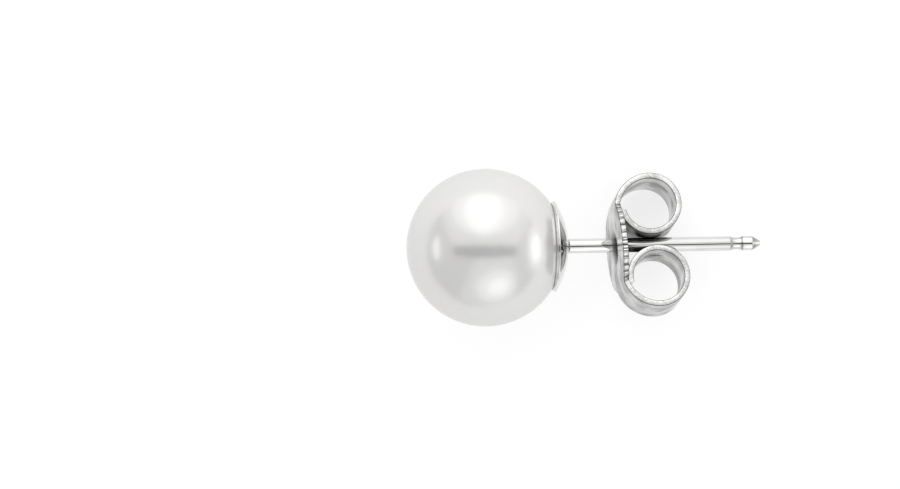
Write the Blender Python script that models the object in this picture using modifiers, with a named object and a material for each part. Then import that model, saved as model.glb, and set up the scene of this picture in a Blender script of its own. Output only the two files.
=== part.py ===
"""Pearl stud earring with a butterfly clutch. Lengths are in metres, +Z is up.

The earring lies unworn on a level surface, as it comes to rest by itself: on its pearl, on the side
of the clutch's plate and on a corner of its upper scroll. Each piece is modelled on the earring's
own axes: +X runs from the pearl's centre along the post to its tip, Y runs along the scrolls, and
+Z runs up the clutch's plate as it is worn.
"""

import math

import bmesh
import bpy

# Pearl, drilled half way for the peg.
PEARL_DIAMETER = 0.0080
DRILL_CLEARANCE = 0.00005  # round the peg, and past its end

# Setting: a domed cup with a peg inside and a post outside, soldered into one piece.
CUP_WALL = 0.00018
CUP_DIAMETER = 0.00466  # across the rim
GLUE_GAP = 0.00005  # between the pearl and the cup
PEG_DIAMETER = 0.00070
PEG_DEPTH = 0.0035  # below the pearl's surface
POST_DIAMETER = 0.00074
POST_LENGTH = 0.00984  # from the top of the cup to the tip
SOLDER_RADIUS = 0.00012  # the fillet where the post meets the cup
TIP_LENGTH = 0.00042
TIP_FLAT_DIAMETER = 0.00026
NOTCH_TO_TIP = 0.00093
NOTCH_LENGTH = 0.00060
NOTCH_DEPTH = 0.00007
NOTCH_SLOPE = 0.00012  # the notch's side by the tip slopes over this length

# Clutch: one stamped strip, with a wide milled plate between two scrolls that grip the post.
SHEET = 0.00028
PLATE_WIDTH = 0.0056
PLATE_CURVE_RADIUS = 0.00213  # of the plate's round sides
PLATE_FLAT_LENGTH = 0.0031  # between the bends that lead into the scrolls
ARM_WIDTH = 0.0026
SCROLL_DIAMETER = 0.00317  # outside
SCROLL_CLEARANCE = 0.00003  # behind the plate
SCROLL_PRESS = 0.00008  # the post is let this far into the round of each scroll
UPPER_END_ANGLE = math.radians(-8)  # past the point nearest to the plate
LOWER_END_ANGLE = math.radians(8)
BEAD_PITCH = 0.00028  # along the milled sides
BEAD_DEPTH = 0.00006
BEAD_SHOULDER = 0.3  # share of the pitch from the groove to the flat of the bead
DIMPLE_DIAMETER = 0.0019  # the cone that leads the post into its hole
DIMPLE_DEPTH = 0.00016
GRIP_CLEARANCE = 0.00004  # between the scrolls and the post
HOLE_CLEARANCE = 0.00005
GRIP_TO_CUP = 0.00427  # from the top of the cup to the middle of the scrolls
CLUTCH_LEAN = math.radians(4)  # its top leans towards the pearl

# Fineness of the facets.
TURN_STEPS = 48
PEARL_ARCS = 24
CUP_ARCS = 6
SOLDER_ARCS = 3
ARM_STEP = 0.00032  # along the strip, past the milled sides
CENTRE_BAND = 0.0008  # the strip's middle, which holds the dimple and the saddles for the post
CENTRE_CELLS = 4  # on each side of the middle
SIDE_CELLS = 2
HOLE_SIDES = 32
SADDLE_BLEND = 0.00006
MERGE = 1e-7

# The roll about the post at which the earring comes to rest lies between these.
LEAST_ROLL = math.radians(-150)  # a corner of the upper scroll is straight below the post
MOST_ROLL = math.radians(-90)  # the side of the plate is
ROLL_TRIES = 60

pearl_radius = PEARL_DIAMETER / 2
peg_radius = PEG_DIAMETER / 2
post_radius = POST_DIAMETER / 2
cup_inner_radius = pearl_radius + GLUE_GAP
cup_outer_radius = cup_inner_radius + CUP_WALL
tip_reach = cup_outer_radius + POST_LENGTH

scroll_radius = SCROLL_DIAMETER / 2
scroll_middle_radius = scroll_radius - SHEET / 2
scroll_depth = SHEET + SCROLL_CLEARANCE + scroll_radius  # of a scroll's centre behind the plate's front
scroll_height = post_radius + scroll_radius - SCROLL_PRESS
grip_reach = cup_outer_radius + GRIP_TO_CUP
hole_radius = post_radius / math.cos(CLUTCH_LEAN) + scroll_depth * math.tan(CLUTCH_LEAN)
hole_radius += HOLE_CLEARANCE

# The bend from the flat of the plate runs into the scroll without a kink.
flat_half = PLATE_FLAT_LENGTH / 2
bend_run = scroll_depth - SHEET / 2
bend_rise = scroll_height - flat_half
bend_radius = bend_run**2 + bend_rise**2 - scroll_middle_radius**2
bend_radius /= 2 * (bend_run - scroll_middle_radius)
bend_angle = math.atan2(bend_rise, bend_radius - bend_run)
bend_end = flat_half + bend_radius * bend_angle


def clear_scene():
    for obj in list(bpy.data.objects):
        bpy.data.objects.remove(obj, do_unlink=True)


def new_collection(name):
    collection = bpy.data.collections.new(name)
    bpy.context.scene.collection.children.link(collection)
    return collection


def new_material(name, colour, metallic, roughness):
    material = bpy.data.materials.new(name)
    material.use_nodes = True
    shader = material.node_tree.nodes["Principled BSDF"]
    shader.inputs["Base Color"].default_value = (*colour, 1)
    shader.inputs["Metallic"].default_value = metallic
    shader.inputs["Roughness"].default_value = roughness
    return material


def new_object(name, mesh, collection, material=None):
    obj = bpy.data.objects.new(name, mesh)
    collection.objects.link(obj)
    if material:
        mesh.materials.append(material)
    return obj


def turned(name, profile, collection, material):
    """A solid turned about its local Z from (radius, height) points that run down its outer side."""
    mesh = bpy.data.meshes.new(name)
    edges = [(i, i + 1) for i in range(len(profile) - 1)]
    mesh.from_pydata([(radius, 0, height) for radius, height in profile], edges, [])
    obj = new_object(name, mesh, collection, material)
    screw = obj.modifiers.new("Turn", "SCREW")
    screw.steps = TURN_STEPS
    screw.render_steps = TURN_STEPS
    screw.use_merge_vertices = True
    screw.merge_threshold = MERGE
    screw.use_smooth_shade = True
    return obj


def arc(radius, first, last, count):
    """Points on a circle about the pearl's centre, by their angle from the post's axis."""
    angles = [first + (last - first) * i / count for i in range(count + 1)]
    return [(radius * math.sin(angle), radius * math.cos(angle)) for angle in angles]


def pearl_profile():
    hole = peg_radius + DRILL_CLEARANCE
    floor = pearl_radius - PEG_DEPTH - DRILL_CLEARANCE
    outside = arc(pearl_radius, math.asin(hole / pearl_radius), math.pi, PEARL_ARCS)
    return [(0, floor), (hole, floor)] + outside


def post_profile():
    """From the tip down to the fillet on the cup."""
    notch_far = tip_reach - NOTCH_TO_TIP
    notch_near = notch_far - NOTCH_LENGTH
    notch_radius = post_radius - NOTCH_DEPTH
    return [
        (0, tip_reach),
        (TIP_FLAT_DIAMETER / 2, tip_reach),
        (post_radius, tip_reach - TIP_LENGTH),
        (post_radius, notch_far),
        (notch_radius, notch_far - NOTCH_SLOPE),
        (notch_radius, notch_near),
        (post_radius, notch_near),
    ]


def cup_profile():
    """From the post over the fillet and the cup's outside, round its rim and back to the end of the peg."""
    fillet_x = post_radius + SOLDER_RADIUS
    fillet_z = math.sqrt((cup_outer_radius + SOLDER_RADIUS) ** 2 - fillet_x**2)
    fillet_end = math.asin(fillet_x / (cup_outer_radius + SOLDER_RADIUS))
    fillet = []
    for i in range(SOLDER_ARCS):
        turn = (math.pi / 2 - fillet_end) * i / SOLDER_ARCS
        x = fillet_x - SOLDER_RADIUS * math.cos(turn)
        fillet.append((x, fillet_z - SOLDER_RADIUS * math.sin(turn)))
    rim = math.asin(CUP_DIAMETER / 2 / cup_outer_radius)
    outside = arc(cup_outer_radius, fillet_end, rim, CUP_ARCS)
    inside = arc(cup_inner_radius, rim, math.asin(peg_radius / cup_inner_radius), CUP_ARCS)
    peg_end = pearl_radius - PEG_DEPTH
    return fillet + outside + inside + [(peg_radius, peg_end), (0, peg_end)]


def plate_half_width(distance):
    """Half the strip's width this far along it from the plate's centre, without the beads."""
    arm = ARM_WIDTH / 2
    if abs(distance) >= PLATE_CURVE_RADIUS:
        return arm
    bulge = math.sqrt(PLATE_CURVE_RADIUS**2 - distance**2) - PLATE_CURVE_RADIUS
    return max(arm, PLATE_WIDTH / 2 + bulge)


def milled_half():
    """How far along the strip the round, milled sides reach from the plate's centre."""
    narrowing = PLATE_WIDTH / 2 - ARM_WIDTH / 2
    return math.sqrt(max(0, PLATE_CURVE_RADIUS**2 - (PLATE_CURVE_RADIUS - narrowing) ** 2))


def stations():
    """(distance along the strip, depth cut into its sides), from the lower scroll's end to the upper's."""
    milled = milled_half()
    beads = max(1, round(2 * milled / BEAD_PITCH))
    pitch = 2 * milled / beads
    plate = []
    for bead in range(beads):
        start = -milled + bead * pitch
        plate += [
            (start, BEAD_DEPTH),
            (start + pitch * BEAD_SHOULDER, 0),
            (start + pitch * (1 - BEAD_SHOULDER), 0),
        ]
    plate.append((milled, BEAD_DEPTH))

    def arm(end_angle):
        length = bend_end + scroll_middle_radius * (2 * math.pi + end_angle - bend_angle) - milled
        count = round(length / ARM_STEP)
        return [milled + length * (i + 1) / count for i in range(count)]

    lower = [(-distance, 0) for distance in reversed(arm(LOWER_END_ANGLE))]
    upper = [(distance, 0) for distance in arm(UPPER_END_ANGLE)]
    return lower + plate + upper


def columns(half_width):
    """Where the grid's lines lie across the strip: close together in the middle band, then wider."""
    band = min(CENTRE_BAND, half_width / 2)
    half = [band * i / CENTRE_CELLS for i in range(CENTRE_CELLS + 1)]
    half += [band + (half_width - band) * (i + 1) / SIDE_CELLS for i in range(SIDE_CELLS)]
    return [-y for y in reversed(half[1:])] + half


def strip_path(distance, outward=0):
    """(x, z) on the upper half of the strip, behind the plate's front, out from the sheet's middle."""
    if distance <= flat_half:
        return SHEET / 2 - outward, distance
    if distance <= bend_end:
        angle = (distance - flat_half) / bend_radius
        centre_x, centre_z, radius = SHEET / 2 + bend_radius, flat_half, bend_radius + outward
    else:
        angle = bend_angle + (distance - bend_end) / scroll_middle_radius
        centre_x, centre_z, radius = scroll_depth, scroll_height, scroll_middle_radius + outward
    return centre_x - radius * math.cos(angle), centre_z + radius * math.sin(angle)


def saddle(x, y, z, side):
    """The height z at (x, y), pressed away from the post where the scroll would meet it."""
    needed = (post_radius + GRIP_CLEARANCE + SHEET / 2) / math.cos(CLUTCH_LEAN)
    post_z = -x * math.tan(CLUTCH_LEAN)
    room = math.sqrt(max(0, needed**2 - y**2))
    over = side * (z - post_z) - room
    return post_z + side * (room + (over + math.sqrt(over**2 + SADDLE_BLEND**2)) / 2)


def clutch_point(distance, y):
    """A point of the middle of the sheet. The clutch's own origin is on the post, between the scrolls."""
    side = math.copysign(1, distance)
    x, z = strip_path(abs(distance))
    z *= side
    if abs(distance) > bend_end:
        z = saddle(x - scroll_depth, y, z, side)
    else:
        slope = (DIMPLE_DIAMETER / 2 - math.hypot(y, z)) / (DIMPLE_DIAMETER / 2 - hole_radius)
        x += DIMPLE_DEPTH * min(1, max(0, slope))
    return x - scroll_depth, y, z


def clutch_sheet():
    """A grid bent to the middle of the stamped and scrolled sheet."""
    along = stations()
    across = 2 * (CENTRE_CELLS + SIDE_CELLS)
    bm = bmesh.new()
    bmesh.ops.create_grid(bm, x_segments=len(along) - 1, y_segments=across, size=1)
    for vertex in bm.verts:
        distance, cut = along[round((vertex.co.x + 1) / 2 * (len(along) - 1))]
        places = columns(plate_half_width(distance) - cut)
        vertex.co = clutch_point(distance, places[round((vertex.co.y + 1) / 2 * across)])
    bmesh.ops.recalc_face_normals(bm, faces=bm.faces)
    mesh = bpy.data.meshes.new("clutch")
    bm.to_mesh(mesh)
    bm.free()
    mesh.shade_smooth()
    return mesh


def hole_cutter(collection):
    """A plug through the plate and its dimple, which stops short of the scrolls."""
    reach = 2 * (SHEET + DIMPLE_DEPTH)  # to each side of the plate's front
    bm = bmesh.new()
    bmesh.ops.create_cone(
        bm,
        cap_ends=True,
        segments=HOLE_SIDES,
        radius1=hole_radius,
        radius2=hole_radius,
        depth=2 * reach,
    )
    mesh = bpy.data.meshes.new("clutch_hole_cutter")
    bm.to_mesh(mesh)
    bm.free()
    cutter = new_object("clutch_hole_cutter", mesh, collection)
    cutter.rotation_euler = (0, math.pi / 2, 0)
    cutter.location = (-scroll_depth, 0, 0)
    cutter.hide_render = True
    cutter.display_type = "WIRE"
    return cutter


def make_clutch(collection, cutters, material):
    clutch = new_object("clutch", clutch_sheet(), collection, material)
    thicken = clutch.modifiers.new("Sheet", "SOLIDIFY")
    thicken.thickness = SHEET
    thicken.offset = 0
    thicken.use_even_offset = True
    cutter = hole_cutter(cutters)
    cutter.parent = clutch
    cut = clutch.modifiers.new("Hole", "BOOLEAN")
    cut.operation = "DIFFERENCE"
    cut.object = cutter
    return clutch


def clutch_edges():
    """Points on the lower side's edges of the clutch: (along the post, across, up), as worn."""
    points = []
    for distance, cut in stations():
        half_width = plate_half_width(distance) - cut
        for outward in (-SHEET / 2, SHEET / 2):
            x, z = strip_path(abs(distance), outward)
            x -= scroll_depth
            z = math.copysign(z, distance)
            along = grip_reach + x * math.cos(CLUTCH_LEAN) - z * math.sin(CLUTCH_LEAN)
            up = x * math.sin(CLUTCH_LEAN) + z * math.cos(CLUTCH_LEAN)
            points.append((along, half_width, up))
    return points


def droop_at(roll, points):
    """The angle by which the post falls to its tip before one of these points touches the surface."""
    droops = []
    for along, across, up in points:
        below = -across * math.sin(roll) - up * math.cos(roll)
        touch = math.asin(pearl_radius / math.hypot(along, below))
        droops.append(touch - math.atan2(below, along))
    return min(droops)


def rest():
    """(roll, droop) of the earring at rest: the post sinks as far as it can."""
    points = clutch_edges()
    least, most = LEAST_ROLL, MOST_ROLL
    for _ in range(ROLL_TRIES):
        third = (most - least) / 3
        if droop_at(least + third, points) < droop_at(most - third, points):
            least += third
        else:
            most -= third
    return least, droop_at(least, points)


def main():
    clear_scene()
    earring = new_collection("pearl_stud_earring")
    cutters = new_collection("cutters")
    nacre = new_material("nacre", (0.86, 0.85, 0.83), 0, 0.22)
    white_metal = new_material("white_metal", (0.83, 0.83, 0.82), 1, 0.12)
    spring_metal = new_material("spring_metal", (0.80, 0.80, 0.79), 1, 0.22)

    pearl = turned("pearl", pearl_profile(), earring, nacre)
    setting = turned("post_setting", post_profile() + cup_profile(), earring, white_metal)
    clutch = make_clutch(earring, cutters, spring_metal)

    roll, droop = rest()
    axis = bpy.data.objects.new("earring_axis", None)
    earring.objects.link(axis)
    axis.rotation_euler = (roll, droop, 0)
    front = -pearl_radius
    back = tip_reach * math.cos(droop) + TIP_FLAT_DIAMETER / 2 * math.sin(droop)
    axis.location = (-(front + back) / 2, 0, pearl_radius)

    for piece in (pearl, setting):
        piece.parent = axis
        piece.rotation_euler = (0, math.pi / 2, 0)
    clutch.parent = axis
    clutch.location = (grip_reach, 0, 0)
    clutch.rotation_euler = (0, -CLUTCH_LEAN, 0)


main()
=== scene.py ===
"""Pearl stud earring with a butterfly clutch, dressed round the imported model. Metres, +Z up.

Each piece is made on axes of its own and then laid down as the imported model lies. The earring's
own axes start at the pearl's centre: X runs along the post, Y along the axes of the scrolls and Z
up the clutch's plate as worn.
"""

import math

import bmesh
import bpy
from mathutils import Matrix, Vector


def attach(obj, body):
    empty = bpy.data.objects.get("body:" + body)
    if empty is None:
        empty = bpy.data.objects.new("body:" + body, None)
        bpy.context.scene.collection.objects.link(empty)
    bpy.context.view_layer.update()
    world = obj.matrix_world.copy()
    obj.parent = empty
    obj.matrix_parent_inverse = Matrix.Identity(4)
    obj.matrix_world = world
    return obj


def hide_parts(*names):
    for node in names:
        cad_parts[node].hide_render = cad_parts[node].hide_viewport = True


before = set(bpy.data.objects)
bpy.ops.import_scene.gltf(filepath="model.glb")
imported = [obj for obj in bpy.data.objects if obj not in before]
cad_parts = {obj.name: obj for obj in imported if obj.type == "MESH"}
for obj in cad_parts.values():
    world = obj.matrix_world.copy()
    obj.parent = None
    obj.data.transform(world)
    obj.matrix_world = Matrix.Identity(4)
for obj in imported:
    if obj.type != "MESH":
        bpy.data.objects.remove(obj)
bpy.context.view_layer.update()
bpy.ops.object.select_all(action="DESELECT")

# The pearl: a round, white cultured pearl, drilled half way for its peg. Its nacre is thin layers
# of aragonite, which give a soft gloss with a deeper, sharper one on top, a faint pink and green
# orient, and a skin that is never quite even.
PEARL_RADIUS = 0.0040
PEARL_CENTRE = Vector((-0.0049146, 0, PEARL_RADIUS))
REST_ROLL = math.radians(-108.6664)  # about the post
REST_DROOP = math.radians(11.1590)  # of the post towards its tip
PEARL_SEGMENTS = 128
PEARL_RINGS = 96
PEARL_SMOOTH = math.radians(40)  # edges that turn more than this stay sharp
PEARL_UNEVENNESS = 0.000008
UNEVENNESS_SIZE = 0.0028
UNEVENNESS_CONTRAST = 0.4
DRILL_RADIUS = 0.00040
DRILL_DEPTH = 0.00355
DRILL_CHAMFER = 0.00004
NACRE_SILVER = (0.72, 0.723, 0.716, 1)
NACRE_CREAM = (0.735, 0.722, 0.714, 1)
NACRE_ROUGHNESS = (0.19, 0.27)
CLOUD_SCALE = 260  # clouds of the two whites per metre
SKIN_SCALE = 2600
PIT_SCALE = 700
SKIN_DEPTH = 0.000004
SKIN_STRENGTH = 0.12

earring_axes = (
    Matrix.Translation(PEARL_CENTRE)
    @ Matrix.Rotation(REST_DROOP, 4, "Y")
    @ Matrix.Rotation(REST_ROLL, 4, "X")
)
along_post = earring_axes @ Matrix.Rotation(math.pi / 2, 4, "Y")  # local Z runs down the post


def edit(piece):
    """Opens the piece's mesh for editing, with nothing selected."""
    bpy.context.view_layer.objects.active = piece
    bpy.ops.object.mode_set(mode="EDIT")
    bpy.ops.mesh.select_all(action="DESELECT")


def pick(kind, wanted):
    """Selects the vertices, edges or faces of the mesh being edited that are wanted."""
    bpy.context.tool_settings.mesh_select_mode = [kind == k for k in ("VERT", "EDGE", "FACE")]
    bpy.ops.mesh.select_all(action="DESELECT")
    mesh = bmesh.from_edit_mesh(bpy.context.object.data)
    found = {"VERT": mesh.verts, "EDGE": mesh.edges, "FACE": mesh.faces}[kind]
    for element in found:
        if wanted(element):
            element.select_set(True)
    mesh.select_flush_mode()
    bmesh.update_edit_mesh(bpy.context.object.data)


def apply(piece, kind, **settings):
    """Adds a modifier with these settings and applies it."""
    bpy.context.view_layer.objects.active = piece
    modifier = piece.modifiers.new(kind.title(), kind)
    for name, value in settings.items():
        setattr(modifier, name, value)
    bpy.ops.object.modifier_apply(modifier=modifier.name)


def lay_down(piece, place, smooth):
    """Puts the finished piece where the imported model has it, with its place in its mesh."""
    bpy.ops.object.mode_set(mode="OBJECT")
    bpy.ops.object.select_all(action="DESELECT")
    piece.select_set(True)
    bpy.context.view_layer.objects.active = piece
    piece.matrix_world = place
    bpy.ops.object.transform_apply(location=True, rotation=True, scale=True)
    bpy.ops.object.shade_smooth_by_angle(angle=smooth)
    bpy.ops.object.select_all(action="DESELECT")


def new_finish(name):
    """A new node material, its node tree and its Principled shader."""
    material = bpy.data.materials.new(name)
    material.use_nodes = True
    return material, material.node_tree, material.node_tree.nodes["Principled BSDF"]


def give(shader, values):
    """Sets sockets of a shader to values that are the same all over the surface."""
    for name, value in values.items():
        shader.inputs[name].default_value = value


def add(tree, kind, inputs=(), **settings):
    """A node with its settings, and its inputs set or linked."""
    node = tree.nodes.new(kind)
    for name, value in settings.items():
        setattr(node, name, value)
    for name, value in dict(inputs).items():
        if isinstance(value, bpy.types.NodeSocket):
            tree.links.new(value, node.inputs[name])
        else:
            node.inputs[name].default_value = value
    return node


def mix_colours(tree, share, first, second):
    """The colour that lies this share of the way from the first to the second."""
    colours = {"Factor": share, 6: first, 7: second}
    return add(tree, "ShaderNodeMix", colours, data_type="RGBA").outputs[2]


def own_axes(tree, place):
    """Object coordinates turned back to a piece's own axes."""
    back = place.inverted()
    here = add(tree, "ShaderNodeTexCoord").outputs["Object"]
    inputs = {"Vector": here, "Location": back.translation, "Rotation": back.to_euler("XYZ")}
    return add(tree, "ShaderNodeMapping", inputs).outputs["Vector"]


bpy.ops.mesh.primitive_uv_sphere_add(
    segments=PEARL_SEGMENTS, ring_count=PEARL_RINGS, radius=PEARL_RADIUS
)
pearl = bpy.context.object
pearl.name = "drilled_pearl"
texture = bpy.data.textures.new("nacre_unevenness", "CLOUDS")
texture.noise_scale = UNEVENNESS_SIZE
texture.contrast = UNEVENNESS_CONTRAST
apply(pearl, "DISPLACE", texture=texture, strength=PEARL_UNEVENNESS, mid_level=0.5)

# The drill hole is opened at the pole, chamfered, sunk and closed at its end.
edit(pearl)
drill_top = math.sqrt(PEARL_RADIUS**2 - DRILL_RADIUS**2)
pick("FACE", lambda face: face.calc_center_median().z > drill_top)
bpy.ops.mesh.delete(type="FACE")
pick("EDGE", lambda edge: edge.is_boundary)
mesh = bmesh.from_edit_mesh(pearl.data)
mouth = max(vertex.co.xy.length for vertex in mesh.verts if vertex.select)
wider = (DRILL_RADIUS + DRILL_CHAMFER) / mouth
bpy.ops.transform.resize(value=(wider, wider, 1), center_override=(0, 0, drill_top))
for drop, narrower in (
    (DRILL_CHAMFER, DRILL_RADIUS / (DRILL_RADIUS + DRILL_CHAMFER)),
    (DRILL_DEPTH - DRILL_CHAMFER, 1),
):
    bpy.ops.mesh.extrude_region_move(TRANSFORM_OT_translate={"value": (0, 0, -drop)})
    bpy.ops.transform.resize(value=(narrower, narrower, 1), center_override=(0, 0, 0))
bpy.ops.mesh.extrude_region_move()
bpy.ops.mesh.merge(type="CENTER")
bpy.ops.mesh.select_all(action="SELECT")
bpy.ops.mesh.normals_make_consistent(inside=False)
lay_down(pearl, along_post, PEARL_SMOOTH)

nacre, tree, shader = new_finish("nacre")
where = own_axes(tree, earring_axes)
clouds = add(tree, "ShaderNodeTexNoise", {"Vector": where, "Scale": CLOUD_SCALE, "Detail": 2})
tone = add(
    tree,
    "ShaderNodeMapRange",
    {"Value": clouds.outputs["Fac"], "From Min": 0.35, "From Max": 0.65},
    interpolation_type="SMOOTHSTEP",
)
white = mix_colours(tree, tone.outputs["Result"], NACRE_SILVER, NACRE_CREAM)
tree.links.new(white, shader.inputs["Base Color"])
skin = add(tree, "ShaderNodeTexNoise", {"Vector": where, "Scale": SKIN_SCALE, "Detail": 3})
gloss = add(
    tree,
    "ShaderNodeMapRange",
    {"Value": skin.outputs["Fac"], "To Min": NACRE_ROUGHNESS[0], "To Max": NACRE_ROUGHNESS[1]},
)
tree.links.new(gloss.outputs["Result"], shader.inputs["Roughness"])
pits = add(tree, "ShaderNodeTexVoronoi", {"Vector": where, "Scale": PIT_SCALE})
pit = add(
    tree,
    "ShaderNodeMapRange",
    {"Value": pits.outputs["Distance"], "From Min": 0.02, "From Max": 0.09},
    interpolation_type="SMOOTHSTEP",
)
relief = add(
    tree,
    "ShaderNodeMath",
    {0: skin.outputs["Fac"], 1: pit.outputs["Result"]},
    operation="ADD",
)
bump = add(
    tree,
    "ShaderNodeBump",
    {"Height": relief.outputs["Value"], "Strength": SKIN_STRENGTH, "Distance": SKIN_DEPTH},
)
tree.links.new(bump.outputs["Normal"], shader.inputs["Normal"])
give(
    shader,
    {
        "Metallic": 0.45,
        "Specular IOR Level": 0.25,
        "Specular Tint": (0.7, 0.7, 0.7, 1),
        "Coat Weight": 0.4,
        "Coat Roughness": 0.12,
        "Coat IOR": 1.4,
        "Sheen Weight": 0.08,
        "Sheen Roughness": 0.4,
        "Sheen Tint": (1.0, 0.92, 0.90, 1),
        "Subsurface Weight": 0.15,
        "Subsurface Radius": (0.0012, 0.0010, 0.0008),
        "Subsurface Scale": 0.5,
    },
)
pearl.data.materials.append(nacre)
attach(pearl, "stud")
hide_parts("pearl")

# The setting: a shallow cup glued over the drill hole, with a peg glued into the pearl and an ear
# post soldered to the cup's top. It is rhodium-plated silver: the cup is spun and polished, and
# the post is drawn wire with a turned notch and a blunt tip.
SETTING_SEGMENTS = 96
SETTING_SMOOTH = math.radians(35)
CUP_INNER_RADIUS = 0.00401  # glue fills what is left before the pearl
CUP_OUTER_RADIUS = 0.00423
CUP_RIM_RADIUS = 0.00233
RIM_ROUND = 0.00004
PEG_RADIUS = 0.00035
PEG_END = 0.0005
POST_RADIUS = 0.00037
POST_TIP = 0.01407
SOLDER_RADIUS = 0.00012
NOTCH_FAR = POST_TIP - 0.00093
NOTCH_NEAR = NOTCH_FAR - 0.00060
NOTCH_DEPTH = 0.00007
NOTCH_ENDS = 0.55  # share of that depth at its two ends
NOTCH_STEPS = 10
NOTCH_SHOULDER = 0.00003
NOTCH_LIP = 0.000012
TIP_LENGTH = 0.00042
TIP_START = POST_TIP - TIP_LENGTH
TIP_SHOULDER = 0.000025
TIP_FLAT_RADIUS = 0.00013
TIP_CORNER_RADIUS = 0.00009
TIP_ROUND = 0.00005
WHITE_METAL = (0.74, 0.74, 0.73, 1)
# Painted shade: a near-black mixed into the metal's colour where a mask says, standing in for
# shade.
PAINTED_SHADE_COLOUR = (0.08, 0.08, 0.08, 1)
# Where painted shade darkens the post: its notch and its tip.
PAINTED_SHADE_MARKS = (  # reach along the post, share of grey
    (NOTCH_NEAR - NOTCH_SHOULDER, 0),
    (NOTCH_NEAR, 0.5),
    (NOTCH_NEAR + 0.00012, 0.15),
    (NOTCH_FAR - 0.00014, 0.15),
    (NOTCH_FAR, 0.6),
    (NOTCH_FAR + NOTCH_SHOULDER, 0),
    (TIP_START - 0.000042, 0),
    (TIP_START + 0.000042, 0.65),
    (POST_TIP, 0.2),
)
DRAWN = (600, 12000, 12000)  # fineness of the wire's lines on the earring's own axes, per metre
SMUDGE_SCALE = 900
CLEAN_FROM = 0.17  # lines times smudges: at this and below, the metal shows no wear
WORN_FROM = 0.34  # and at this and above, all of it


def arc(centre, radius, first, last, steps):
    """(radius, height) points on a circle; its angles are measured from the post's axis."""
    angles = [first + (last - first) * i / steps for i in range(steps + 1)]
    return [(centre[0] + radius * math.sin(a), centre[1] + radius * math.cos(a)) for a in angles]


# The setting's outline: down from the tip to the cup's rim, back inside it and down the peg.
quarter = math.pi / 2
cone = math.atan2(POST_RADIUS - TIP_FLAT_RADIUS, TIP_LENGTH)
corner = (TIP_CORNER_RADIUS, POST_TIP - TIP_ROUND)
shoulder = (POST_RADIUS - TIP_ROUND, TIP_START - TIP_SHOULDER)
outline = [(0, POST_TIP)]
outline += arc(corner, TIP_ROUND, 0, quarter - cone, steps=5)[1:]
outline += arc(shoulder, TIP_ROUND, quarter - cone, quarter, steps=4)
outline += [(POST_RADIUS, NOTCH_FAR + NOTCH_SHOULDER), (POST_RADIUS - NOTCH_LIP, NOTCH_FAR)]
for i in range(1, NOTCH_STEPS):
    share = i / NOTCH_STEPS
    sag = NOTCH_DEPTH * (NOTCH_ENDS + (1 - NOTCH_ENDS) * math.sin(math.pi * share))
    outline.append((POST_RADIUS - sag, NOTCH_FAR + (NOTCH_NEAR - NOTCH_FAR) * share))
outline += [(POST_RADIUS - NOTCH_LIP, NOTCH_NEAR), (POST_RADIUS, NOTCH_NEAR - NOTCH_SHOULDER)]
solder_x = POST_RADIUS + SOLDER_RADIUS
solder_reach = CUP_OUTER_RADIUS + SOLDER_RADIUS
solder_end = math.asin(solder_x / solder_reach)
solder_z = math.sqrt(solder_reach**2 - solder_x**2)
outline += arc((solder_x, solder_z), SOLDER_RADIUS, -quarter, solder_end - math.pi, steps=8)
rim = math.asin(CUP_RIM_RADIUS / CUP_OUTER_RADIUS)
rim_start = rim - RIM_ROUND / CUP_OUTER_RADIUS
outline += arc((0, 0), CUP_OUTER_RADIUS, solder_end, rim_start, steps=28)[1:]
for lip_reach, first in (
    (CUP_OUTER_RADIUS - RIM_ROUND, rim),
    (CUP_INNER_RADIUS + RIM_ROUND, rim + quarter),
):
    lip = (lip_reach * math.sin(rim_start), lip_reach * math.cos(rim_start))
    outline += arc(lip, RIM_ROUND, first, first + quarter, steps=4)[1:]
peg_turn = math.asin(PEG_RADIUS / CUP_INNER_RADIUS)
outline += arc((0, 0), CUP_INNER_RADIUS, rim_start, peg_turn, steps=14)[1:]
outline += [(PEG_RADIUS, PEG_END + RIM_ROUND), (PEG_RADIUS - RIM_ROUND, PEG_END), (0, PEG_END)]

bpy.ops.mesh.primitive_plane_add(size=TIP_ROUND, location=(0, 0, POST_TIP))
setting = bpy.context.object
setting.name = "cup_peg_and_post"
bpy.ops.object.transform_apply(location=True, rotation=True, scale=True)
edit(setting)
pick("VERT", lambda vertex: True)
bpy.ops.mesh.merge(type="CENTER")
here = outline[0]
for there in outline[1:]:
    step = (there[0] - here[0], 0, there[1] - here[1])
    bpy.ops.mesh.extrude_region_move(TRANSFORM_OT_translate={"value": step})
    here = there
bpy.ops.mesh.select_all(action="SELECT")
bpy.ops.mesh.spin(
    steps=SETTING_SEGMENTS, dupli=False, angle=2 * math.pi, center=(0, 0, 0), axis=(0, 0, 1)
)
bpy.ops.mesh.select_all(action="SELECT")
bpy.ops.mesh.remove_doubles(threshold=1e-6)
bpy.ops.mesh.normals_make_consistent(inside=False)
lay_down(setting, along_post, SETTING_SMOOTH)


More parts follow.
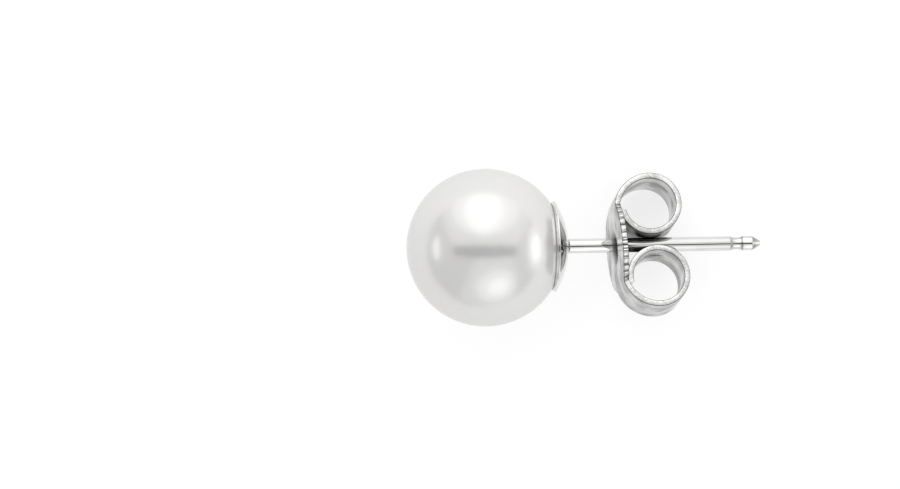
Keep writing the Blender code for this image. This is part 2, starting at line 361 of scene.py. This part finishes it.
def fine_lines_group():
    """Fine lines left by drawing, rolling or brushing, and the wear that dulls the metal there."""
    group = bpy.data.node_groups.new("fine_lines", "ShaderNodeTree")
    sockets = group.interface
    sockets.new_socket("Vector", in_out="INPUT", socket_type="NodeSocketVector")
    sockets.new_socket("Stretch", in_out="INPUT", socket_type="NodeSocketVector")
    sockets.new_socket("Lines", in_out="OUTPUT", socket_type="NodeSocketFloat")
    sockets.new_socket("Wear", in_out="OUTPUT", socket_type="NodeSocketFloat")
    entry = group.nodes.new("NodeGroupInput")
    leave = group.nodes.new("NodeGroupOutput")
    drawn = add(
        group,
        "ShaderNodeVectorMath",
        {0: entry.outputs["Vector"], 1: entry.outputs["Stretch"]},
        operation="MULTIPLY",
    )
    lines = add(
        group,
        "ShaderNodeTexNoise",
        {"Vector": drawn.outputs["Vector"], "Scale": 1, "Detail": 4, "Roughness": 0.65},
    )
    smudges = add(
        group,
        "ShaderNodeTexNoise",
        {"Vector": entry.outputs["Vector"], "Scale": SMUDGE_SCALE, "Detail": 3},
    )
    smudged = add(
        group,
        "ShaderNodeMath",
        {0: lines.outputs["Fac"], 1: smudges.outputs["Fac"]},
        operation="MULTIPLY",
    )
    wear = add(
        group,
        "ShaderNodeMapRange",
        {"Value": smudged.outputs["Value"], "From Min": CLEAN_FROM, "From Max": WORN_FROM},
    )
    group.links.new(lines.outputs["Fac"], leave.inputs["Lines"])
    group.links.new(wear.outputs["Result"], leave.inputs["Wear"])
    return group


def metal_finish(name, place, stretch, colour, dull, roughness, depth, painted_shade=None):
    """White metal whose wear dulls its colour to a share and roughens it from least to most.

    Stretch is how fine its lines are along each of the piece's own axes, and depth is their
    depth. The last argument makes the mask of painted shade, where near-black stands in
    for shade, on the same axes.
    """
    material, tree, shader = new_finish(name)
    where = own_axes(tree, place)
    lines = tree.nodes.new("ShaderNodeGroup")
    lines.node_tree = bpy.data.node_groups.get("fine_lines") or fine_lines_group()
    tree.links.new(where, lines.inputs["Vector"])
    lines.inputs["Stretch"].default_value = stretch
    rough = add(
        tree,
        "ShaderNodeMapRange",
        {"Value": lines.outputs["Wear"], "To Min": roughness[0], "To Max": roughness[1]},
    )
    tree.links.new(rough.outputs["Result"], shader.inputs["Roughness"])
    bump = add(
        tree,
        "ShaderNodeBump",
        {"Height": lines.outputs["Lines"], "Strength": 1, "Distance": depth},
    )
    tree.links.new(bump.outputs["Normal"], shader.inputs["Normal"])
    dulled = [value * dull for value in colour[:3]] + [1]
    shown = mix_colours(tree, lines.outputs["Wear"], colour, dulled)
    # Painted shade: near-black is mixed into the colour where the mask says.
    if painted_shade:
        shown = mix_colours(tree, painted_shade(tree, where), shown, PAINTED_SHADE_COLOUR)
    tree.links.new(shown, shader.inputs["Base Color"])
    give(shader, {"Metallic": 1})
    return material


def through_marks(tree, value, marks):
    """Turns a value into what the marks, pairs of a value and its result, say; 0 to 1 both."""
    ramp = add(tree, "ShaderNodeValToRGB", {"Fac": value})
    stops = ramp.color_ramp.elements
    stops.remove(stops[1])
    stops[0].position = marks[0][0]
    stops[0].color = (marks[0][1], marks[0][1], marks[0][1], 1)
    for position, result in marks[1:]:
        stops.new(position).color = (result, result, result, 1)
    return ramp.outputs["Color"]


def painted_shade_of_setting(tree, where):
    """Painted shade: near-black in the turned notch and on the filed tip, standing in for their
    shade.
    """
    reach = add(tree, "ShaderNodeSeparateXYZ", {"Vector": where}).outputs["X"]
    share = add(tree, "ShaderNodeMath", {0: reach, 1: POST_TIP}, operation="DIVIDE")
    marks = [(mark / POST_TIP, painted_shade) for mark, painted_shade in PAINTED_SHADE_MARKS]
    return through_marks(tree, share.outputs["Value"], marks)


# The post's notch and tip are darkened with painted shade.
setting.data.materials.append(
    metal_finish(
        "polished_white_metal",
        earring_axes,
        stretch=DRAWN,
        colour=WHITE_METAL,
        dull=0.92,
        roughness=(0.01, 0.04),
        depth=0.0000002,
        painted_shade=painted_shade_of_setting,
    )
)
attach(setting, "stud")
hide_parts("post_setting")

# The clutch: one strip of hard white metal, stamped with a wide plate whose round sides are
# milled into beads, pierced and dimpled for the post, and rolled at both ends into scrolls that
# spring against it. The strip's faces are brushed and its cut edges bright. Painted shade
# darkens the rounded corners of the cut edges, the funnel of the hole, behind it and where the
# scrolls close round the post.
SHEET = 0.00028
PLATE_WIDTH = 0.0056
PLATE_CURVE_RADIUS = 0.00213
PLATE_FLAT_LENGTH = 0.0031
ARM_WIDTH = 0.0026
SCROLL_RADIUS = 0.001585
SCROLL_DEPTH = 0.001895  # of a scroll's centre behind the plate's front
SCROLL_HEIGHT = 0.001875
UPPER_END = math.radians(-8)
LOWER_END = math.radians(8)
BEADS = 13
BEAD_DEPTH = 0.00010
BEAD_SHAPE = 4
BEAD_SLANT = 0.6  # least cosine that a bead's depth across the plate is divided by
ROW_STEP = 0.000025  # between the mesh's rows where the strip is milled
SCROLL_STEP = 0.00006  # and where it is plain
COLUMNS = 24
DIMPLE_RADIUS = 0.00095
DIMPLE_DEPTH = 0.00016
DIMPLE_RINGS = 8
DIMPLE_CURL = 1.3
OPENING_HALF = DIMPLE_RADIUS * 1.12  # the faces of this square make room for the dimple
OPENING_REACH = OPENING_HALF * 1.2
HOLE_RADIUS = 0.000553
GRIP_CLEARANCE = 0.00004
GRIP_REACH = 0.0085
CLUTCH_LEAN = math.radians(4)
EDGE_ROUND = 0.000026
CLUTCH_SMOOTH = math.radians(35)
SPRING_METAL = (0.57, 0.57, 0.565, 1)
EDGE_METAL = (0.70, 0.70, 0.69, 1)
# Painted shade: near-black on the rounded corners of the cut edges, drawn as dark outlines.
PAINTED_EDGE_SHADE = (0.08, 0.08, 0.08, 1)
BRUSHED = (300, 9000, 300)
MOTTLED = (9000, 9000, 9000)
# Painted shade on the clutch: near-black round the post's axis, fading outwards.
PAINTED_SHADE_CORE = 0.00060  # painted shade is full this near to the post's axis
PAINTED_SHADE_LIMITS = (  # depth behind the plate's front, reach from the axis where the grey has faded
    (0.00028, 0.00098),
    (0.00045, 0.00165),
    (0.00110, 0.00150),
    (0.00155, 0.00074),
)
PAINTED_SHADE_WIDEST = 0.002

clutch_place = (
    earring_axes
    @ Matrix.Translation((GRIP_REACH, 0, 0))
    @ Matrix.Rotation(-CLUTCH_LEAN, 4, "Y")
    @ Matrix.Translation((-SCROLL_DEPTH, 0, 0))
)
scroll_middle = SCROLL_RADIUS - SHEET / 2
flat_half = PLATE_FLAT_LENGTH / 2
bend_run = SCROLL_DEPTH - SHEET / 2
bend_rise = SCROLL_HEIGHT - flat_half
bend_radius = (bend_run**2 + bend_rise**2 - scroll_middle**2) / (2 * (bend_run - scroll_middle))
bend_angle = math.atan2(bend_rise, bend_radius - bend_run)
arm = ARM_WIDTH / 2
narrowing = PLATE_WIDTH / 2 - arm
milled_half = math.sqrt(PLATE_CURVE_RADIUS**2 - (PLATE_CURVE_RADIUS - narrowing) ** 2)
milled_turn = math.asin(milled_half / PLATE_CURVE_RADIUS)
bead_turn = 2 * milled_turn / BEADS
milled_bend = (milled_half - flat_half) / bend_radius
hole_centre = (SHEET / 2, 0, 0)


def strip_distance(point):
    """How far along the strip a point of its flat or its first bends is from the plate's centre.

    It is infinite for a point of the scrolls.
    """
    height = abs(point.z)
    if height < flat_half:
        return height if point.x < SHEET else math.inf
    reach = Vector((bend_radius + SHEET / 2 - point.x, height - flat_half))
    if point.x > bend_run or abs(reach.length - bend_radius) > SHEET / 4:
        return math.inf
    return flat_half + bend_radius * math.atan2(reach.y, reach.x)


def plate_half_width(distance):
    """Half the strip's width this far from the plate's centre, with the beads of its sides."""
    turn = math.asin(distance / PLATE_CURVE_RADIUS)
    off_bead = abs(2 * ((turn / bead_turn + 0.5) % 1) - 1)
    bulge = PLATE_CURVE_RADIUS * (math.cos(turn) - 1)
    ending = min(1, max(0, (milled_turn - turn) / bead_turn))
    depth = BEAD_DEPTH * ending / max(math.cos(turn), BEAD_SLANT)
    return max(arm, PLATE_WIDTH / 2 + bulge) - depth * off_bead**BEAD_SHAPE


def near_hole(point, half):
    """Whether a point is on the plate, in a square of this half width round the hole."""
    return point.x < SHEET and abs(point.y) < half and abs(point.z) < half


bpy.ops.mesh.primitive_cylinder_add(
    vertices=64,
    radius=POST_RADIUS + GRIP_CLEARANCE + SHEET / 2,
    depth=3 * SCROLL_RADIUS,
    location=(SCROLL_DEPTH, 0, 0),
    rotation=(0, math.pi / 2 + CLUTCH_LEAN, 0),
)
mandrel = bpy.context.object
bpy.ops.mesh.primitive_grid_add(
    x_subdivisions=2 * round(flat_half / ROW_STEP),
    y_subdivisions=COLUMNS,
    size=1,
    rotation=(0, -math.pi / 2, 0),
)
clutch = bpy.context.object
clutch.name = "butterfly_clutch"
bpy.ops.object.transform_apply(location=True, rotation=True, scale=True)
edit(clutch)
pick("VERT", lambda vertex: True)
bpy.ops.transform.resize(value=(1, ARM_WIDTH, PLATE_FLAT_LENGTH), center_override=(0, 0, 0))
bpy.ops.transform.translate(value=(SHEET / 2, 0, 0))

# Each end is rolled: first the milled part of the bend, then the rest of it, then the scroll.
for side, end in ((1, UPPER_END), (-1, LOWER_END)):
    pick("VERT", lambda vertex: abs(vertex.co.z - side * flat_half) < ROW_STEP / 4)
    bend_centre = (SHEET / 2 + bend_radius, 0, side * flat_half)
    scroll_centre = (SCROLL_DEPTH, 0, side * SCROLL_HEIGHT)
    for turn, radius, centre, step in (
        (milled_bend, bend_radius, bend_centre, ROW_STEP),
        (bend_angle - milled_bend, bend_radius, bend_centre, SCROLL_STEP),
        (2 * math.pi + end - bend_angle, scroll_middle, scroll_centre, SCROLL_STEP),
    ):
        steps = round(turn * radius / step)
        bpy.ops.mesh.spin(
            steps=steps, dupli=False, angle=-side * turn, center=centre, axis=(0, 1, 0)
        )

# The plate is drawn out sideways row by row to its round outline and its beads.
mesh = bmesh.from_edit_mesh(clutch.data)
rows = {}  # each row's height once, to a hundredth of a step
for vertex in mesh.verts:
    distance = strip_distance(vertex.co)
    if distance < milled_half + ROW_STEP / 2:
        rows[round(vertex.co.z / ROW_STEP * 100)] = (vertex.co.z, distance)
for height, distance in rows.values():
    pick(
        "VERT",
        lambda vertex: abs(vertex.co.z - height) < ROW_STEP / 4
        and strip_distance(vertex.co) < math.inf,
    )
    wider = plate_half_width(distance) / arm
    bpy.ops.transform.resize(value=(1, wider, 1), center_override=(0, 0, 0))

# The hole is pierced, and the sheet round it is pushed back into a funnel.
pick("FACE", lambda face: near_hole(face.calc_center_median(), OPENING_HALF))
bpy.ops.mesh.delete(type="FACE")
pick(
    "EDGE",
    lambda edge: edge.is_boundary
    and all(near_hole(vertex.co, OPENING_REACH) for vertex in edge.verts),
)
bpy.ops.mesh.extrude_region_move()
bpy.ops.transform.tosphere(value=1, center_override=hole_centre)
mesh = bmesh.from_edit_mesh(clutch.data)
narrower = DIMPLE_RADIUS / max(vertex.co.yz.length for vertex in mesh.verts if vertex.select)
bpy.ops.transform.resize(value=(1, narrower, narrower), center_override=hole_centre)
ring, depth = DIMPLE_RADIUS, 0
for i in range(1, DIMPLE_RINGS + 1):
    share = i / DIMPLE_RINGS
    next_ring = DIMPLE_RADIUS + (HOLE_RADIUS - DIMPLE_RADIUS) * share
    next_depth = DIMPLE_DEPTH * share**DIMPLE_CURL
    bpy.ops.mesh.extrude_region_move()
    narrower = next_ring / ring
    bpy.ops.transform.resize(value=(1, narrower, narrower), center_override=hole_centre)
    bpy.ops.transform.translate(value=(next_depth - depth, 0, 0))
    ring, depth = next_ring, next_depth

# The scrolls are pressed round a mandrel that leaves them clear of the post.
bpy.ops.object.vertex_group_add()
pick(
    "VERT",
    lambda vertex: vertex.co.x > SCROLL_DEPTH / 3 and strip_distance(vertex.co) == math.inf,
)
bpy.ops.object.vertex_group_assign()
bpy.ops.object.mode_set(mode="OBJECT")
apply(
    clutch,
    "SHRINKWRAP",
    target=mandrel,
    wrap_method="NEAREST_SURFACEPOINT",
    wrap_mode="OUTSIDE",
    vertex_group=clutch.vertex_groups[0].name,
)
bpy.data.objects.remove(mandrel)
clutch.vertex_groups.clear()

# The sheet gets its thickness, and its cut edges are tumbled round.
for _ in range(3):
    clutch.data.materials.append(None)
apply(
    clutch,
    "SOLIDIFY",
    thickness=SHEET,
    offset=0,
    use_even_offset=True,
    material_offset_rim=1,
)
edit(clutch)
pick("EDGE", lambda edge: len({face.material_index for face in edge.link_faces}) == 2)
# The rounded corners take the third finish, the painted shade along the cut edges.
bpy.ops.mesh.bevel(offset=EDGE_ROUND, segments=3, affect="EDGES", material=2)
bpy.ops.mesh.select_all(action="SELECT")
bpy.ops.mesh.remove_doubles(threshold=1e-7)
lay_down(clutch, clutch_place, CLUTCH_SMOOTH)


def painted_shade_of_clutch(tree, where):
    """Painted shade: near-black in the funnel of the hole, behind it and where the scrolls close
    round the post.
    """
    across = add(tree, "ShaderNodeVectorMath", {0: where, 1: (0, 1, 1)}, operation="MULTIPLY")
    reach = add(tree, "ShaderNodeVectorMath", {0: across.outputs["Vector"]}, operation="LENGTH")
    depth = add(tree, "ShaderNodeSeparateXYZ", {"Vector": where}).outputs["X"]
    share = add(tree, "ShaderNodeMath", {0: depth, 1: PAINTED_SHADE_WIDEST}, operation="DIVIDE")
    marks = [(near / PAINTED_SHADE_WIDEST, faded / PAINTED_SHADE_WIDEST) for near, faded in PAINTED_SHADE_LIMITS]
    faded = through_marks(tree, share.outputs["Value"], marks)
    limit = add(tree, "ShaderNodeMath", {0: faded, 1: PAINTED_SHADE_WIDEST}, operation="MULTIPLY")
    painted_shade = add(
        tree,
        "ShaderNodeMapRange",
        {
            "Value": reach.outputs["Value"],
            "From Min": PAINTED_SHADE_CORE,
            "From Max": limit.outputs["Value"],
            "To Min": 1.0,
            "To Max": 0.0,
        },
    )
    return painted_shade.outputs["Result"]


clutch.data.materials[0] = metal_finish(
    "spring_white_metal",
    clutch_place,
    stretch=BRUSHED,
    colour=SPRING_METAL,
    dull=0.42,
    roughness=(0.18, 0.36),
    depth=0.000002,
    painted_shade=painted_shade_of_clutch,
)
clutch.data.materials[1] = metal_finish(
    "bright_cut_edges",
    clutch_place,
    stretch=MOTTLED,
    colour=EDGE_METAL,
    dull=0.62,
    roughness=(0.10, 0.28),
    depth=0.000003,
)
# Near-black painted shade for the rounded corners of the cut edges.
clutch.data.materials[2] = metal_finish(
    "painted_edge_shade",
    clutch_place,
    stretch=MOTTLED,
    colour=PAINTED_EDGE_SHADE,
    dull=0.6,
    roughness=(0.2, 0.4),
    depth=0.000001,
)
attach(clutch, "clutch_body")
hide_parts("clutch")

# The studio: a plain white table in a white tent, with a big softbox and lamp beyond the earring,
# a lamp before it, one at its right and a strip at its left. A black card below the lens shows in
# reflections alone. The camera looks down on the table at the photo's angle.
VIEW_AZIMUTH = math.radians(-7)  # of the camera round the earring as worn
VIEW_ELEVATION = math.radians(-12.5)
VIEW_ROLL = math.radians(2.5)
CAMERA_DISTANCE = 0.400
CAMERA_LENS = 316
AIM_RIGHT = -0.001787
AIM_UP = 0.000157
LIGHT_DISTANCE = 0.25
CARD_UP = -6  # degrees above the lens
CARD_DISTANCE = 0.14
CARD_WIDTH = 0.29
CARD_HEIGHT = 0.042
TABLE_SIZE = 4
TABLE_COLOUR = (0.28, 0.28, 0.28, 1)
TABLE_GLOW = 0.76
TENT_GLOW = 0.65
BACKDROP_GLOW = 1.05

turn = earring_axes.to_3x3()
level = Vector((math.cos(VIEW_AZIMUTH), math.sin(VIEW_AZIMUTH), 0))
forward = Vector(
    (
        -math.sin(VIEW_AZIMUTH) * math.cos(VIEW_ELEVATION),
        math.cos(VIEW_AZIMUTH) * math.cos(VIEW_ELEVATION),
        -math.sin(VIEW_ELEVATION),
    )
)
upright = level.cross(forward)
view_right = turn @ (level * math.cos(VIEW_ROLL) - upright * math.sin(VIEW_ROLL))
view_up = turn @ (level * math.sin(VIEW_ROLL) + upright * math.cos(VIEW_ROLL))
view_back = turn @ -forward
aim = PEARL_CENTRE + view_right * AIM_RIGHT + view_up * AIM_UP

bpy.ops.object.camera_add()
camera = bpy.context.object
camera.matrix_world = Matrix.Translation(aim + view_back * CAMERA_DISTANCE) @ (
    Matrix((view_right, view_up, view_back)).transposed().to_4x4()
)
camera.data.lens = CAMERA_LENS
camera.data.sensor_width = 36
camera.data.clip_start = 0.001
camera.data.clip_end = 20
bpy.context.scene.camera = camera


def facing_earring(right, up, distance):
    """A place this far off that faces the earring, these degrees right of and above the lens."""
    right, up = math.radians(right), math.radians(up)
    direction = view_back * math.cos(up) + view_up * math.sin(up)
    direction = (direction * math.cos(right) + view_right * math.sin(right)).normalized()
    across = view_up.cross(direction).normalized()
    facing = Matrix((across, direction.cross(across), direction)).transposed().to_4x4()
    return Matrix.Translation(aim + direction * distance) @ facing


def softbox(name, right, up, wide, high, brightness, shape="RECTANGLE"):
    """A light that covers this many degrees and shines on the earring."""
    bpy.ops.object.light_add(type="AREA")
    light = bpy.context.object
    light.name = name
    light.data.shape = shape
    light.data.size = 2 * LIGHT_DISTANCE * math.tan(math.radians(wide / 2))
    light.data.size_y = 2 * LIGHT_DISTANCE * math.tan(math.radians(high / 2))
    light.data.energy = brightness * math.pi * light.data.size * light.data.size_y
    light.matrix_world = facing_earring(right, up, LIGHT_DISTANCE)
    light.visible_camera = False


softbox("far_softbox", 0, 49, 112, 90, 0.30)
softbox("far_lamp_halo", 0, 60, 84, 84, 0.28, shape="ELLIPSE")
softbox("far_lamp_glow", -2, 54, 52, 68, 0.30, shape="ELLIPSE")
softbox("far_lamp", -3, 53, 27, 46, 0.20, shape="ELLIPSE")
softbox("near_lamp_halo", 8, -56, 66, 82, 0.24)
softbox("near_lamp_glow", 14, -60, 50, 52, 0.30, shape="ELLIPSE")
softbox("near_lamp", 16, -61, 26, 28, 0.36, shape="ELLIPSE")
softbox("left_strip", -76, -5, 13, 28, 0.75, shape="ELLIPSE")
softbox("right_lamp_glow", 82, -1, 34, 50, 0.45, shape="ELLIPSE")
softbox("right_lamp", 81, -3, 22, 30, 0.65, shape="ELLIPSE")

bpy.ops.mesh.primitive_plane_add(size=1)
card = bpy.context.object
card.name = "black_card"
card.matrix_world = facing_earring(0, CARD_UP, CARD_DISTANCE) @ Matrix.Diagonal(
    (CARD_WIDTH, CARD_HEIGHT, 1, 1)
)
bpy.ops.object.transform_apply(location=True, rotation=True, scale=True)
card.visible_camera = card.visible_shadow = card.visible_diffuse = False
black, _, shader = new_finish("black_card")
give(shader, {"Base Color": (0.01, 0.01, 0.01, 1), "Roughness": 1})
card.data.materials.append(black)

bpy.ops.mesh.primitive_plane_add(size=TABLE_SIZE)
floor = bpy.context.object
floor.name = "white_table"
table, _, shader = new_finish("white_table")
give(
    shader,
    {
        "Base Color": TABLE_COLOUR,
        "Roughness": 0.9,
        "Specular IOR Level": 0.1,
        "Emission Color": (1, 1, 1, 1),
        "Emission Strength": TABLE_GLOW,
    },
)
floor.data.materials.append(table)

world = bpy.data.worlds.new("studio")
bpy.context.scene.world = world
world.use_nodes = True
tree = world.node_tree
background = tree.nodes["Background"]
seen = add(tree, "ShaderNodeLightPath").outputs["Is Camera Ray"]
glow = add(
    tree,
    "ShaderNodeMapRange",
    {"Value": seen, "To Min": TENT_GLOW, "To Max": BACKDROP_GLOW},
)
tree.links.new(glow.outputs["Result"], background.inputs["Strength"])
background.inputs["Color"].default_value = (1, 1, 1, 1)
bpy.context.scene.view_settings.view_transform = "Standard"
